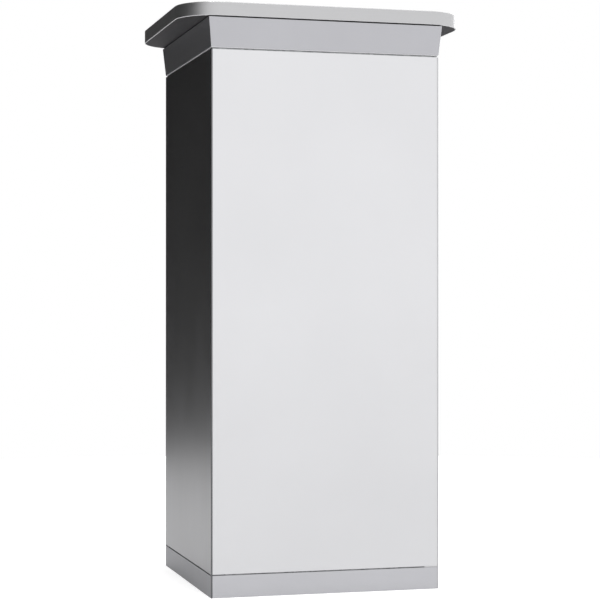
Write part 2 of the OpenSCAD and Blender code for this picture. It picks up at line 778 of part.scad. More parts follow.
module lower_rod() {
    color("silver") {
        box([lower_rod_x, rod_y, md_z0],
            [lower_rod_x + rod_w, rod_y + rod_d, lock_z + rack_half + rod_travel]);
        translate([lock_x + pinion_r, rod_y + rod_d, lock_z]) rotate([90, 0, 0])
            linear_extrude(height = rod_d)
                mirror([1, 0]) rack_teeth(-rack_half, rack_half + rod_travel);
    }
}

// Bridges on the back of the front sheet that the rods slide in.
module rod_guides() {
    side = 2.2;
    h = 8;
    color("gray") for (g = concat(
        [[upper_rod_x, md_z1 - end_rail / 2 - h]],
        [for (k = [0:2:len(SHELF_Z) - 1]) [lower_rod_x, SHELF_Z[k]]],
        [[lower_rod_x, parcel_bottom - end_rail / 2]])) difference() {
        box([g[0] - side, face + master_t, g[1] - h / 2],
            [g[0] + rod_w + side, rod_y + rod_d + side, g[1] + h / 2]);
        rod_path(g[0], g[1] - h, g[1] + h);
    }
}

// Gearbox channel on the back of the front sheet, and the lock's housing in front of it.
module lock_case() {
    x0 = upper_rod_x - 1 - case_t;
    x1 = lower_rod_x + rod_w + 1 + case_t;
    color("gray") {
        difference() {
            box([x0, face + master_t, lock_z - case_half_z], [x1, case_back, lock_z + case_half_z]);
            box([x0 + case_t, face + master_t - OVER, lock_z - case_half_z - OVER],
                [x1 - case_t, case_back - case_t, lock_z + case_half_z + OVER]);
            along_y(lock_x, case_back - case_t - OVER, case_back + OVER, lock_z, tail / 2);
        }
        difference() {
            union() {
                along_y(lock_x, face - head_t, face - EPS, lock_z, master_housing_r + 3);
                along_y(lock_x, face - 2 * EPS, rod_y - 1, lock_z, master_housing_r - RUN);
            }
            along_y(lock_x, face - head_t - OVER, rod_y, lock_z, master_plug_r);
        }
    }
}

// A key plug along Y from y0 to y1 with a square tail to tail_y, seen from the front as a disc
// with a keyway.
module key_plug(x, z, r, y0, y1, tail_y) {
    difference() {
        along_y(x, y0, y1, z, r);
        box([x - 0.7, y0 - OVER, z - r * 0.62], [x + 0.7, y0 + 3, z + r * 0.62]);
    }
    box([x - tail / 2, y1 - EPS, z - tail / 2], [x + tail / 2, tail_y, z + tail / 2]);
}

module master_plug() {
    tail_y = rod_y + rod_d + 0.5;
    color("goldenrod") {
        key_plug(lock_x, lock_z, master_plug_r - RUN, face - head_t - 0.5, rod_y - 0.6, tail_y);
        along_y(lock_x, tail_y - EPS, case_back, lock_z, tail / 2 - RUN);
    }
}

// ---------------------------------------------------------------- tenant and parcel doors

function lock_at(o) = [o[0] + o[2] - lock_inset, o[1] + o[3] / 2];

// One door in opening o: the leaf, and the lock's housing with its nut, which stay separate.
module door(o) {
    p = [o[0] + pivot_in, o[1]];
    x1 = o[0] + o[2] - leaf_gap;
    z0 = o[1] + leaf_gap;
    z1 = o[1] + o[3] - leaf_gap;
    lug_clear = lug_h + 0.6;
    lk = lock_at(o);
    mid = [o[0] + o[2] / 2, o[1] + o[3] / 2];
    nr = number_recess;
    color("gainsboro") difference() {
        union() {
            box([p[0], face, z0], [x1, face + leaf_t, z1]);
            for (z = [z0, z1 - leaf_t])
                box([p[0] + barrel_r + 2, face, z], [x1, face + leaf_fold, z + leaf_t]);
            translate([p[0], face, o[1] + lug_clear]) cylinder(r = barrel_r, h = o[3] - 2 * lug_clear);
        }
        // room for the frame's lugs, the pin and the lock
        for (z = [o[1] - OVER, o[1] + o[3] - lug_clear])
            box([p[0] - OVER, face - OVER, z],
                [p[0] + barrel_r + 0.6, face + leaf_t + OVER, z + lug_clear + OVER]);
        translate([p[0], face, o[1] - OVER]) cylinder(r = pin_r, h = o[3] + 2 * OVER);
        along_y(lk[0], face - OVER, face + leaf_t + OVER, lk[1], lock_r + APART);
        box([mid[0] - nr[0] / 2, face - OVER, mid[1] - nr[1] / 2],
            [mid[0] + nr[0] / 2, face + nr[2], mid[1] + nr[1] / 2]);
    }
    color("silver") {
        difference() {
            union() {
                along_y(lk[0], face - head_t, face - APART, lk[1], head_r);
                along_y(lk[0], face - head_t, housing_back, lk[1], lock_r);
            }
            along_y(lk[0], face - head_t - OVER, housing_back + OVER, lk[1], plug_r);
        }
        difference() {
            along_y(lk[0], face + leaf_t + APART, face + leaf_t + 4, lk[1], head_r + 1.5, $fn = 6);
            along_y(lk[0], face, face + leaf_t + 4 + OVER, lk[1], lock_r + APART);
        }
    }
}

// The plug, the cam that hangs straight down when unlocked, and the cam's nut.
module cam_lock(o) {
    lk = lock_at(o);
    cam_y1 = cam_y + cam_t;
    color("silver") {
        key_plug(lk[0], lk[1], plug_r - RUN, face - head_t - 0.4, housing_back + 0.4, cam_y1 + nut_t + 0.4);
        difference() {
            union() {
                along_y(lk[0], cam_y, cam_y1, lk[1], cam_w / 2 + 2);
                box([lk[0] - cam_w / 2, cam_y, lk[1] - cam_len], [lk[0] + cam_w / 2, cam_y1, lk[1]]);
            }
            box([lk[0] - tail / 2 - APART, cam_y - OVER, lk[1] - tail / 2 - APART],
                [lk[0] + tail / 2 + APART, cam_y1 + OVER, lk[1] + tail / 2 + APART]);
        }
        difference() {
            along_y(lk[0], cam_y1 + APART, cam_y1 + nut_t, lk[1], 6);
            box([lk[0] - tail / 2 - APART, cam_y, lk[1] - tail / 2 - APART],
                [lk[0] + tail / 2 + APART, cam_y1 + nut_t + OVER, lk[1] + tail / 2 + APART]);
        }
    }
}

// ---------------------------------------------------------------- the nodes

base_pan();
plinth_front();
plinth_rear();
plinth_left();
plinth_right();
post_front_left();
post_front_right();
post_rear_left();
post_rear_right();
front_frame();
rear_panel();
left_panel();
right_panel();
top_frame();
crown_fascia();
cap_soffit();
cap_stiffeners();
cap_shell();
cap_bolts();
compartment_liner();
compartment_shelves();
column_dividers();
floor_panel();
panel_studs();
cabinet_hinge_leaf();
master_hinge_pin();
rod_keepers();
master_frame();
door_gasket();
door_hinge_leaf();
leaf_hinge_pins();
lock_case();
rod_guides();
master_plug();
latch_pinion();
upper_rod();
lower_rod();
slot_visor();
flap_pin();
letter_flap();
for (k = [0:7]) {
    door(TENANTS[k]);
    cam_lock(TENANTS[k]);
}
for (k = [0:1]) {
    door(PARCELS[k]);
    cam_lock(PARCELS[k]);
}
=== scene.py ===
"""Looks of a free-standing cluster mailbox unit: a satin metal column on a plinth, with a flared
crown, a round-cornered cap and, at the front, a master door that holds ten smaller doors."""

import math

import bmesh
import bpy
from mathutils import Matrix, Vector


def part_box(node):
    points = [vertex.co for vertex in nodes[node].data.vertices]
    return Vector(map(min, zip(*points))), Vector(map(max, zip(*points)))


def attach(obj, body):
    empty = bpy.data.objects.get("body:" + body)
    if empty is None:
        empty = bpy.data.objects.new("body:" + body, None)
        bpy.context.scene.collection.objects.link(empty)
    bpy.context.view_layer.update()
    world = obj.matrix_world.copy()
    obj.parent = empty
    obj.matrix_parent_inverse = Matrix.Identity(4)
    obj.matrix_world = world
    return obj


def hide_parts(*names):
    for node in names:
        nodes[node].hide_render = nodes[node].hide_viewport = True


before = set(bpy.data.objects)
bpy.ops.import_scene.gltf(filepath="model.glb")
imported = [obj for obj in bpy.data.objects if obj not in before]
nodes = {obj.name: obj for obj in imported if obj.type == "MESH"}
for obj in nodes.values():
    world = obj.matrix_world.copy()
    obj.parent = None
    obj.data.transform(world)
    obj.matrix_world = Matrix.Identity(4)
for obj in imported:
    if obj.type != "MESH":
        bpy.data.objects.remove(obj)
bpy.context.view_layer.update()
scene = bpy.context.scene

# Lengths are in mm up to the point where they become vertices. The half sizes are the column's,
# between the outer faces of opposite panels.
MM = 0.001
HALF_WIDTH = 300.0
HALF_DEPTH = 305.0

# ---- Camera
# A long lens held level at half the column's height, turned fifteen degrees off the column's
# left side, so that the rear shows as a narrow strip beside it. Its place is counted from the
# rear left corner, in depths of the column.
SENSOR_WIDTH = 36
LENS = 107.4
CLIP_END = 200
TURNED = math.radians(15.29)
TIPPED_UP = math.radians(0.15)
CAMERA_ACROSS = 0.369
CAMERA_BACK = 7.432
CAMERA_HEIGHT = 1.220
near_corner = Vector((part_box("left_panel")[0].x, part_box("rear_panel")[1].y, 0))
column_depth = 2 * HALF_DEPTH * MM
ahead = Vector((math.cos(TURNED), -math.sin(TURNED), 0))
across = Vector((-math.sin(TURNED), -math.cos(TURNED), 0))
camera_data = bpy.data.cameras.new("camera")
camera_data.sensor_width = SENSOR_WIDTH
camera_data.lens = LENS
camera_data.clip_end = CLIP_END
camera = bpy.data.objects.new("camera", camera_data)
scene.collection.objects.link(camera)
camera.location = (near_corner + across * CAMERA_ACROSS * column_depth
                   - ahead * CAMERA_BACK * column_depth)
camera.location.z = CAMERA_HEIGHT * column_depth
aim = ahead * math.cos(TIPPED_UP) + Vector((0, 0, math.sin(TIPPED_UP)))
camera.rotation_euler = aim.to_track_quat("-Z", "Y").to_euler()
scene.camera = camera


# ---- Studio
# A matt floor disc in a white room, faintly lit from under like a light table. A dark flag off
# the rear right is what the rear panel mirrors. One lamp hangs overhead, and one without shadows
# fills the front and the right side.
FLOOR_RADIUS = 3.95
FLOOR_GLOW = 0.55
ROOM_LIGHT = 2.0
FLAG_WAY = Vector((0.766, 0.643, 0))
FLAG_EDGE = (-0.35, 0.32)

# Sockets of the Mix node, which it has under one name for numbers and for colours.
MIX_AMOUNT = 0
MIX_NUMBERS = (2, 3)
MIX_COLORS = (6, 7)
MIX_COLOR_OUT = 2


class Shade:
    """A shader socket in sums. A number or another socket may be added to it or multiplied with
    it, and it may be taken from a number."""

    def __init__(self, maker, socket):
        self.maker = maker
        self.socket = socket

    def __add__(self, other):
        return self.maker.node("Math", {"operation": "ADD"}, {0: self, 1: other})

    def __rsub__(self, other):
        return self.maker.node("Math", {"operation": "SUBTRACT"}, {0: other, 1: self})

    def __mul__(self, other):
        return self.maker.node("Math", {"operation": "MULTIPLY"}, {0: self, 1: other})

    __radd__ = __add__
    __rmul__ = __mul__


class Maker:
    """Adds nodes to one node tree. A node is given by its kind, settings and input values, and
    comes back as one of its outputs."""

    def __init__(self, tree):
        self.tree = tree

    def node(self, kind, settings=(), values=(), output=0):
        made = self.tree.nodes.new("ShaderNode" + kind)
        for key, value in dict(settings).items():
            setattr(made, key, value)
        for key, value in dict(values).items():
            if isinstance(value, Shade):
                self.tree.links.new(value.socket, made.inputs[key])
            else:
                made.inputs[key].default_value = value
        return Shade(self, made.outputs[output]) if made.outputs else None


def lamp(name, towards, strength, spread, shadows=True):
    """A far soft lamp that shines on the column from the side that `towards` points to."""
    data = bpy.data.lights.new(name, "SUN")
    data.energy = strength
    data.angle = math.radians(spread)
    data.use_shadow = shadows
    made = bpy.data.objects.new(name, data)
    made.rotation_euler = Vector(towards).to_track_quat("Z", "Y").to_euler()
    scene.collection.objects.link(made)


scene.view_settings.view_transform = "Standard"
scene.view_settings.look = "None"
lamp("overhead", (0, 0, 1), strength=2.1, spread=10)
lamp("fill", (0.8, -0.6, 0.3), strength=1.5, spread=30, shadows=False)

room = bpy.data.worlds.new("room")
room.use_nodes = True
room.node_tree.nodes.clear()
scene.world = room
walls = Maker(room.node_tree)
way = walls.node("TexCoord", output="Generated")
near_flag = walls.node("VectorMath", {"operation": "DOT_PRODUCT"}, {0: way, 1: FLAG_WAY}, "Value")
wall_light = walls.node("MapRange", {"interpolation_type": "SMOOTHSTEP"}, {
    "Value": near_flag, "From Min": FLAG_EDGE[0], "From Max": FLAG_EDGE[1],
    "To Min": ROOM_LIGHT, "To Max": 0.0})
seen_straight = walls.node("LightPath", output="Is Camera Ray")
brightness = walls.node("Mix", {"data_type": "FLOAT"}, {
    MIX_AMOUNT: seen_straight, MIX_NUMBERS[0]: wall_light, MIX_NUMBERS[1]: 1.0})
emitted = walls.node("Background", values={"Color": (1, 1, 1, 1), "Strength": brightness})
walls.node("OutputWorld", values={"Surface": emitted})


def meshed(name, shape):
    """A finished bmesh as a mesh."""
    mesh = bpy.data.meshes.new(name)
    shape.to_mesh(mesh)
    shape.free()
    return mesh


disc = bmesh.new()
bmesh.ops.create_circle(disc, cap_ends=True, segments=96, radius=FLOOR_RADIUS)
floor = bpy.data.objects.new("floor", meshed("floor", disc))
scene.collection.objects.link(floor)
floor_paint = bpy.data.materials.new("floor_paint")
floor_paint.use_nodes = True
floor_shader = floor_paint.node_tree.nodes["Principled BSDF"]
floor_shader.inputs["Base Color"].default_value = (0.6, 0.6, 0.6, 1)
floor_shader.inputs["Roughness"].default_value = 0.9
floor_shader.inputs["Emission Color"].default_value = (1, 1, 1, 1)
floor_shader.inputs["Emission Strength"].default_value = FLOOR_GLOW
floor.data.materials.append(floor_paint)


# ---- Skin panels
# The rear, left and right panels are flat 2 mm sheets in a satin silver coat. Each is sheared
# from one sheet, its arrises are broken, and studs hold it to the corner posts from inside.
SHARP = math.radians(32)
FLAT = 0.005
CLOUDS_DULLER = 0.955
CLOUDS_BRIGHTER = 1.045
# Colour and fade height in mm of a painted highlight that a coat can get along its lower edge.
EDGE_HIGHLIGHT_METAL = (0.56, 0.56, 0.57)
EDGE_HIGHLIGHT_FADE = 1.5


class Finish(Maker):
    """A procedural material: a Principled shader and the nodes that vary it."""

    def __init__(self, name, color, roughness, metallic=1.0):
        self.material = bpy.data.materials.new(name)
        self.material.use_nodes = True
        super().__init__(self.material.node_tree)
        self.shader = self.tree.nodes["Principled BSDF"]
        self.place = self.node("TexCoord", output="Object")
        self.set("Base Color", (*color, 1))
        self.set("Roughness", roughness)
        self.set("Metallic", metallic)

    def set(self, name, value):
        if isinstance(value, Shade):
            self.tree.links.new(value.socket, self.shader.inputs[name])
        else:
            self.shader.inputs[name].default_value = value

    def noise(self, scale, stretch=(1, 1, 1), detail=2.0, seed=0.0):
        """Even cloudy noise about 0.5. `scale` is in features to a metre."""
        point = self.node("VectorMath", {"operation": "MULTIPLY"}, {0: self.place, 1: stretch})
        return self.node("TexNoise", {"noise_dimensions": "4D"}, {
            "Vector": point, "W": seed, "Scale": scale, "Detail": detail})

    def blend(self, amount, first, second):
        """A colour between two colours. The first may be a socket."""
        base = first if isinstance(first, Shade) else (*first, 1)
        return self.node("Mix", {"data_type": "RGBA"}, {
            MIX_AMOUNT: amount, MIX_COLORS[0]: base, MIX_COLORS[1]: (*second, 1)}, MIX_COLOR_OUT)

    def bumps(self, height, depth, strength):
        """Tilts the surface by a height from 0 to 1 that stands for `depth` in metres."""
        self.set("Normal", self.node("Bump", values={
            "Height": height, "Distance": depth, "Strength": strength}))


def powder(name, color, roughness, grain=1.0, rim=1.0, highlight_below=None):
    """A satin metallic coat with orange peel, faint clouding and a little handling haze. `rim`
    is how bright its mirroring stays at a glancing angle. Below the height given last it gets a
    painted highlight: its colour is blended towards a brighter metal there, mottled by the haze."""
    coat = Finish(name, color, roughness)
    coat.set("Specular Tint", (rim, rim, rim, 1))
    clouds = coat.noise(3.0, detail=3.0)
    haze = coat.noise(14.0, (1, 1, 0.35), 4.0, 3.1)
    peel = coat.noise(520.0, detail=2.0, seed=1.7)
    fleck = coat.noise(2600.0, detail=1.0, seed=5.3)
    duller = [channel * CLOUDS_DULLER for channel in color]
    brighter = [channel * CLOUDS_BRIGHTER for channel in color]
    tone = coat.blend(clouds * 0.8 + fleck * 0.2, duller, brighter)
    # Painted highlight: below the given height the colour blends towards a brighter metal.
    if highlight_below:
        height = coat.node("SeparateXYZ", values={0: coat.place}, output="Z")
        edge_highlight = coat.node("MapRange", {"interpolation_type": "SMOOTHSTEP"}, {
            "Value": height, "From Min": (highlight_below - EDGE_HIGHLIGHT_FADE) * MM, "From Max": highlight_below * MM,
            "To Min": 1.0, "To Max": 0.0})
        tone = coat.blend(edge_highlight * (0.5 + haze * 0.5), tone, EDGE_HIGHLIGHT_METAL)
    coat.set("Base Color", tone)
    coat.set("Roughness", roughness - 0.03 + haze * 0.06)
    coat.bumps(peel * 0.8 + fleck * 0.2, 0.00006 * grain, 0.35)
    return coat.material


def copied(name, keep=None):
    """A CAD node's mesh with its flat faces whole again. `keep` picks islands by their size."""
    shape = bmesh.new()
    shape.from_mesh(nodes[name].data)
    bmesh.ops.remove_doubles(shape, verts=shape.verts, dist=1e-6)
    if keep:
        left_over = set(shape.verts)
        unwanted = []
        while left_over:
            island = {left_over.pop()}
            ends = list(island)
            while ends:
                point = ends.pop()
                for link in point.link_edges:
                    other = link.other_vert(point)
                    if other in left_over:
                        left_over.remove(other)
                        island.add(other)
                        ends.append(other)
            size = [max(v.co[a] for v in island) - min(v.co[a] for v in island) for a in range(3)]
            if not keep(size):
                unwanted += island
        bmesh.ops.delete(shape, geom=unwanted, context="VERTS")
    bmesh.ops.dissolve_limit(shape, angle_limit=FLAT, verts=shape.verts, edges=shape.edges)
    return meshed(name, shape)


def fitted(name, mesh, body, finish, stands_for=(), edge=0.5, steps=2):
    """A piece with arrises broken by `edge` mm, in a finish, that rides on a body."""
    piece = bpy.data.objects.new(name, mesh)
    scene.collection.objects.link(piece)
    mesh.shade_smooth()
    if edge:
        broken = piece.modifiers.new("arris", "BEVEL")
        broken.width = edge * MM
        broken.segments = steps
        broken.limit_method = "ANGLE"
        broken.angle_limit = SHARP
        broken.miter_outer = "MITER_ARC"
    else:
        mesh.set_sharp_from_angle(angle=SHARP)
    flat = piece.modifiers.new("flat faces", "WEIGHTED_NORMAL")
    flat.weight = 80
    flat.keep_sharp = True
    graph = bpy.context.evaluated_depsgraph_get()
    done = bpy.data.meshes.new_from_object(piece.evaluated_get(graph))
    piece.modifiers.clear()
    piece.data = done
    done.materials.clear()
    done.materials.append(finish)
    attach(piece, body)
    if stands_for:
        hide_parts(*stands_for)
    return piece


def coat(finish, *names):
    """Gives CAD nodes that stay as they are their finish."""
    for name in names:
        node = nodes[name]
        if not node.data.materials:
            node.data.materials.append(finish)
        for held in node.material_slots:
            held.material = finish


skin = powder("skin_silver", (0.40, 0.40, 0.41), 0.345, rim=0.53)
for side in ("rear_panel", "left_panel", "right_panel"):
    fitted(side + "_sheet", copied(side), "cabinet", skin, [side], edge=0.4)

# ---- Corner posts
# Welded steel angles. Only the round nose shows, as a line between two panels. The rear pair is
# in a dark coat, and the front pair is sprayed with the front frame that it stands beside.
post_coat = powder("post_dark", (0.09, 0.09, 0.095), 0.38)
frame_coat = powder("door_frame_grey", (0.36, 0.36, 0.37), 0.42, 1.6)
for end, slot, finish in (("rear", "post_metal", post_coat),
                          ("front", "door_frame_paint", frame_coat)):
    for side in ("left", "right"):
        name = f"post_{end}_{side}"
        fitted(name + "_angle", copied(name), "cabinet", finish, [name], edge=0.3)

# ---- Plinth and base pan
# Four strips in a mid-grey satin coat close the foot. They are fixed to a galvanised pan that
# stands on the ground and bolts down through it. The top frame and the cap's stiffeners are of
# the same weathered steel.
plinth_coat = powder("plinth_grey", (0.315, 0.315, 0.33), 0.42, rim=0.6)
for side in ("front", "rear", "left", "right"):
    name = "plinth_" + side
    fitted(name + "_strip", copied(name), "cabinet", plinth_coat, [name], edge=0.4)


def galvanised(name):
    """Weathered zinc-dipped steel: a mosaic of dull and darker spangles about 8 mm across."""
    dipped = Finish(name, (0.2, 0.205, 0.21), 0.5)
    cells = dipped.node("TexVoronoi", {"feature": "F1"}, {
        "Vector": dipped.place, "Scale": 120.0, "Randomness": 0.9}, "Color")
    spangle = dipped.node("SeparateColor", values={0: cells})
    clouds = dipped.noise(9.0, detail=4.0)
    tone = spangle * 0.6 + clouds * 0.4
    dipped.set("Base Color", dipped.blend(tone, (0.13, 0.135, 0.14), (0.27, 0.275, 0.28)))
    dipped.set("Roughness", 0.56 - spangle * 0.16)
    dipped.bumps(dipped.noise(60.0, detail=3.0, seed=2.0), 0.0002, 0.3)
    return dipped.material


zinc_dipped = galvanised("galvanised_steel")
coat(zinc_dipped, "base_pan", "top_frame", "cap_stiffeners")

# ---- Crown
# A band of sheet round the column's head that leans out towards its top, mitred and welded at
# the corners. Its lower edge is rolled in over a small radius and catches the light.
CROWN_CORNER_STEPS = 10
CROWN_FLANGE = 24
CROWN_SHEET = 2.0
CROWN_MITRE = 1.6
CROWN_HEM = 3.2
BAND_HEIGHTS = (3.6, 6.0, 72.0, 77.2)


def rounded(half_u, half_v, radius, steps):
    """Points round a rectangle with round corners, each in so many steps."""
    points = []
    for start, side_u, side_v in ((0, 1, 1), (90, -1, 1), (180, -1, -1), (270, 1, -1)):
        for step in range(steps + 1):
            angle = math.radians(start + 90 * step / steps)
            points.append((side_u * (half_u - radius) + radius * math.cos(angle),
                           side_v * (half_v - radius) + radius * math.sin(angle)))
    return points


def banded(shape, rows):
    """Bands of faces between rows of vertices that each go all the way round."""
    for low, high in zip(rows, rows[1:]):
        for k in range(len(low)):
            n = (k + 1) % len(low)
            shape.faces.new((low[k], low[n], high[n], high[k]))


def lofted(name, rings, steps, closed):
    """A skin over level rings, which are given by two half sizes, a corner radius and a height.
    It comes back to the first ring if closed, and is otherwise shut by two flat faces."""
    shape = bmesh.new()
    rows = []
    for half_x, half_y, radius, height in rings:
        rows.append([shape.verts.new((x * MM, y * MM, height * MM))
                     for x, y in rounded(half_x, half_y, radius, steps)])
    if not closed:
        shape.faces.new(rows[0][::-1])
        shape.faces.new(rows[-1])
    banded(shape, rows + rows[:1] if closed else rows)
    bmesh.ops.recalc_face_normals(shape, faces=shape.faces)
    return meshed(name, shape)


crown_low, crown_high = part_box("crown_fascia")
foot_z = crown_low.z / MM
head_x, head_y, head_z = crown_high.x / MM, crown_high.y / MM, crown_high.z / MM
lean = (head_x - HALF_WIDTH) / (head_z - foot_z)


def at_foot(out, radius, height):
    """A ring that stands out from the column by `out`, at a height over the crown's foot."""
    return (HALF_WIDTH + out, HALF_DEPTH + out, radius, foot_z + height)


def at_head(inset, radius):
    """A ring on the crown's top edge."""
    return (head_x - inset, head_y - inset, radius, head_z)


crown_rings = [at_foot(-CROWN_FLANGE, 1.0, 0), at_foot(-CROWN_HEM - 0.2, 1.2, 0)]
for angle in (15, 30, 45, 60, 75):
    bend = CROWN_HEM * (1 - math.sin(math.radians(angle)))
    rise = CROWN_HEM * (1 - math.cos(math.radians(angle)))
    crown_rings.append(at_foot(-bend, CROWN_MITRE, rise))
for height in BAND_HEIGHTS:
    crown_rings.append(at_foot(lean * height, CROWN_MITRE, height))
crown_rings += [
    at_head(0.4, 1.3),
    at_head(CROWN_SHEET, 1.0),
    at_foot(-1.8, 1.0, CROWN_SHEET),
    at_foot(-CROWN_FLANGE, 1.0, CROWN_SHEET),
]
# Its coat has a painted highlight along the bottom 2.8 mm, where the rolled edge is.
crown_coat = powder("crown_grey", (0.285, 0.285, 0.30), 0.47, highlight_below=foot_z + 2.8)
crown_mesh = lofted("crown_band", crown_rings, CROWN_CORNER_STEPS, closed=True)
fitted("crown_band", crown_mesh, "cabinet", crown_coat, ["crown_fascia"], edge=0)

# ---- Cap
# A pressed tray of 3 mm sheet, round at its corners, turned down all round and closed from
# below by a flat soffit. It overhangs the doors and the rear, and bolts to the top frame.
TRAY_SHEET = 3
TRAY_CORNER = 104.0
TRAY_CORNER_STEPS = 24
TRAY_EDGE = 2.2
TRAY_HEM = 0.7 * TRAY_EDGE
EDGE_ANGLES = (0, 22.5, 45, 67.5, 90)
cap_low, cap_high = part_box("cap_shell")
tray_x, tray_y, cap_z0, cap_z1 = cap_high.x / MM, cap_high.y / MM, cap_low.z / MM, cap_high.z / MM


def tray(inset, height):
    """A ring inside the tray's outline."""
    return (tray_x - inset, tray_y - inset, TRAY_CORNER - inset, height)


cap_rings = [tray(TRAY_SHEET, cap_z1 - TRAY_SHEET), tray(TRAY_SHEET, cap_z0 + 0.4)]
cap_rings.append(tray(TRAY_SHEET - 0.4, cap_z0))
for angle in EDGE_ANGLES:
    bend = TRAY_HEM * (1 - math.sin(math.radians(angle)))
    rise = TRAY_HEM * (1 - math.cos(math.radians(angle)))
    cap_rings.append(tray(bend, cap_z0 + rise))
cap_rings += [tray(0, cap_z0 + 3.2), tray(0, cap_z1 - 4)]
for angle in EDGE_ANGLES:
    bend = TRAY_EDGE * (1 - math.cos(math.radians(angle)))
    drop = TRAY_EDGE * (1 - math.sin(math.radians(angle)))
    cap_rings.append(tray(bend, cap_z1 - drop))
cap_rings += [tray(4, cap_z1), tray(40, cap_z1)]
# Its coat has a painted highlight along the bottom 1.6 mm, on the curl of the turned-down edge.
cap_coat = powder("cap_silver", (0.31, 0.31, 0.315), 0.47, highlight_below=cap_z0 + 1.6)
tray_mesh = lofted("cap_tray", cap_rings, TRAY_CORNER_STEPS, closed=False)
fitted("cap_tray", tray_mesh, "cabinet", cap_coat, ["cap_shell"], edge=0)
# Painted shade: the soffit's coat is near black, far darker than the cap above it, to stand for the
# shade under the overhang.
soffit_shade_coat = powder("soffit_painted_shade", (0.055, 0.054, 0.057), 0.5, rim=0.7)
fitted("cap_soffit_sheet", copied("cap_soffit"), "cabinet", soffit_shade_coat,
       ["cap_soffit"], edge=0.2, steps=1)

# ---- Front frame
# The painted sheet round the master door, with the walls of its opening and the stop that the
# gasket meets. It is one folded sheet with its corner seams ground flush.
FRAME_SHEET = 2
FRAME_SIDE = 28.0
FRAME_RAIL = 24.0
DOOR_GAP = 3.0
HINGE_GAP = 9.0
LIP = 10.0
ROD_SLACK = 0.4
ROD_HOLE = 6.8


def holds(box, point):
    """Whether a point is in a box, which is given by its low and high corners."""
    return all(box[0][a] < point[a] < box[1][a] for a in range(3))


def welded(name, fill, cut=()):
    """One solid of boxes that touch or overlap, less the boxes in `cut`, with no inner faces."""
    marks = []
    for axis in range(3):
        marks.append(sorted({round(box[end][axis], 3) for box in [*fill, *cut] for end in (0, 1)}))
    filled = set()
    for i, x in enumerate(zip(marks[0], marks[0][1:])):
        for j, y in enumerate(zip(marks[1], marks[1][1:])):
            for k, z in enumerate(zip(marks[2], marks[2][1:])):
                middle = (sum(x) / 2, sum(y) / 2, sum(z) / 2)
                inside = any(holds(box, middle) for box in fill)
                gone = any(holds(box, middle) for box in cut)
                if inside and not gone:
                    filled.add((i, j, k))
    shape = bmesh.new()
    corners = {}

    def corner(spot):
        if spot not in corners:
            corners[spot] = shape.verts.new([marks[a][spot[a]] * MM for a in range(3)])
        return corners[spot]

    for cell in filled:
        for axis in range(3):
            u, v = (axis + 1) % 3, (axis + 2) % 3
            for side in (0, 1):
                beyond = list(cell)
                beyond[axis] += 2 * side - 1
                if tuple(beyond) in filled:
                    continue
                spots = []
                for du, dv in ((0, 0), (1, 0), (1, 1), (0, 1)):
                    spot = list(cell)
                    spot[axis] += side
                    spot[u] += du
                    spot[v] += dv
                    spots.append(tuple(spot))
                if not side:
                    spots.reverse()
                shape.faces.new([corner(spot) for spot in spots])
    bmesh.ops.dissolve_limit(shape, angle_limit=FLAT, verts=shape.verts, edges=shape.edges)
    return meshed(name, shape)


def ring(outer, inner, y0, y1):
    """Four boxes round an opening. Outer and inner are (x0, z0, x1, z1)."""
    return [
        ((outer[0], y0, outer[1]), (inner[0], y1, outer[3])),
        ((inner[2], y0, outer[1]), (outer[2], y1, outer[3])),
        ((inner[0], y0, outer[1]), (inner[2], y1, inner[1])),
        ((inner[0], y0, inner[3]), (inner[2], y1, outer[3])),
    ]


def grown(rect, by):
    """A rectangle moved outwards on all four sides."""
    return (rect[0] - by, rect[1] - by, rect[2] + by, rect[3] + by)


sheet_low, sheet_high = [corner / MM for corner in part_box("front_frame")]
face = sheet_low.y
stop = sheet_high.y
around = (sheet_low.x, sheet_low.z, sheet_high.x, sheet_high.z)
opening = (-HALF_WIDTH + FRAME_SIDE, sheet_low.z + FRAME_RAIL,
           HALF_WIDTH - FRAME_SIDE, sheet_high.z - FRAME_RAIL)
door = (opening[0] + HINGE_GAP, opening[1] + DOOR_GAP, opening[2] - DOOR_GAP, opening[3] - DOOR_GAP)
frame_boxes = ring(around, opening, face, face + FRAME_SHEET)
frame_boxes += ring(grown(opening, FRAME_SHEET), opening, face + FRAME_SHEET, stop)
frame_boxes += ring(opening, grown(door, -LIP), stop - FRAME_SHEET, stop)
upper_low, upper_high = [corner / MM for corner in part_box("upper_rod")]
lower_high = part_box("lower_rod")[1] / MM
rod_y0, rod_y1 = upper_low.y - ROD_SLACK, upper_high.y + ROD_SLACK
upper_x0 = upper_low.x - ROD_SLACK
lower_x1 = lower_high.x + ROD_SLACK


def rod_holes(rect, inward, outward):
    """Where the two rods pass the top and bottom of a rectangle."""
    return [
        ((upper_x0, rod_y0, rect[3] - inward), (upper_x0 + ROD_HOLE, rod_y1, rect[3] + outward)),
        ((lower_x1 - ROD_HOLE, rod_y0, rect[1] - outward), (lower_x1, rod_y1, rect[1] + inward)),
    ]


frame_mesh = welded("front_frame_sheet", frame_boxes, rod_holes(opening, inward=1, outward=3))
fitted("front_frame_sheet", frame_mesh, "cabinet", frame_coat,
       ["front_frame"], edge=0.6)

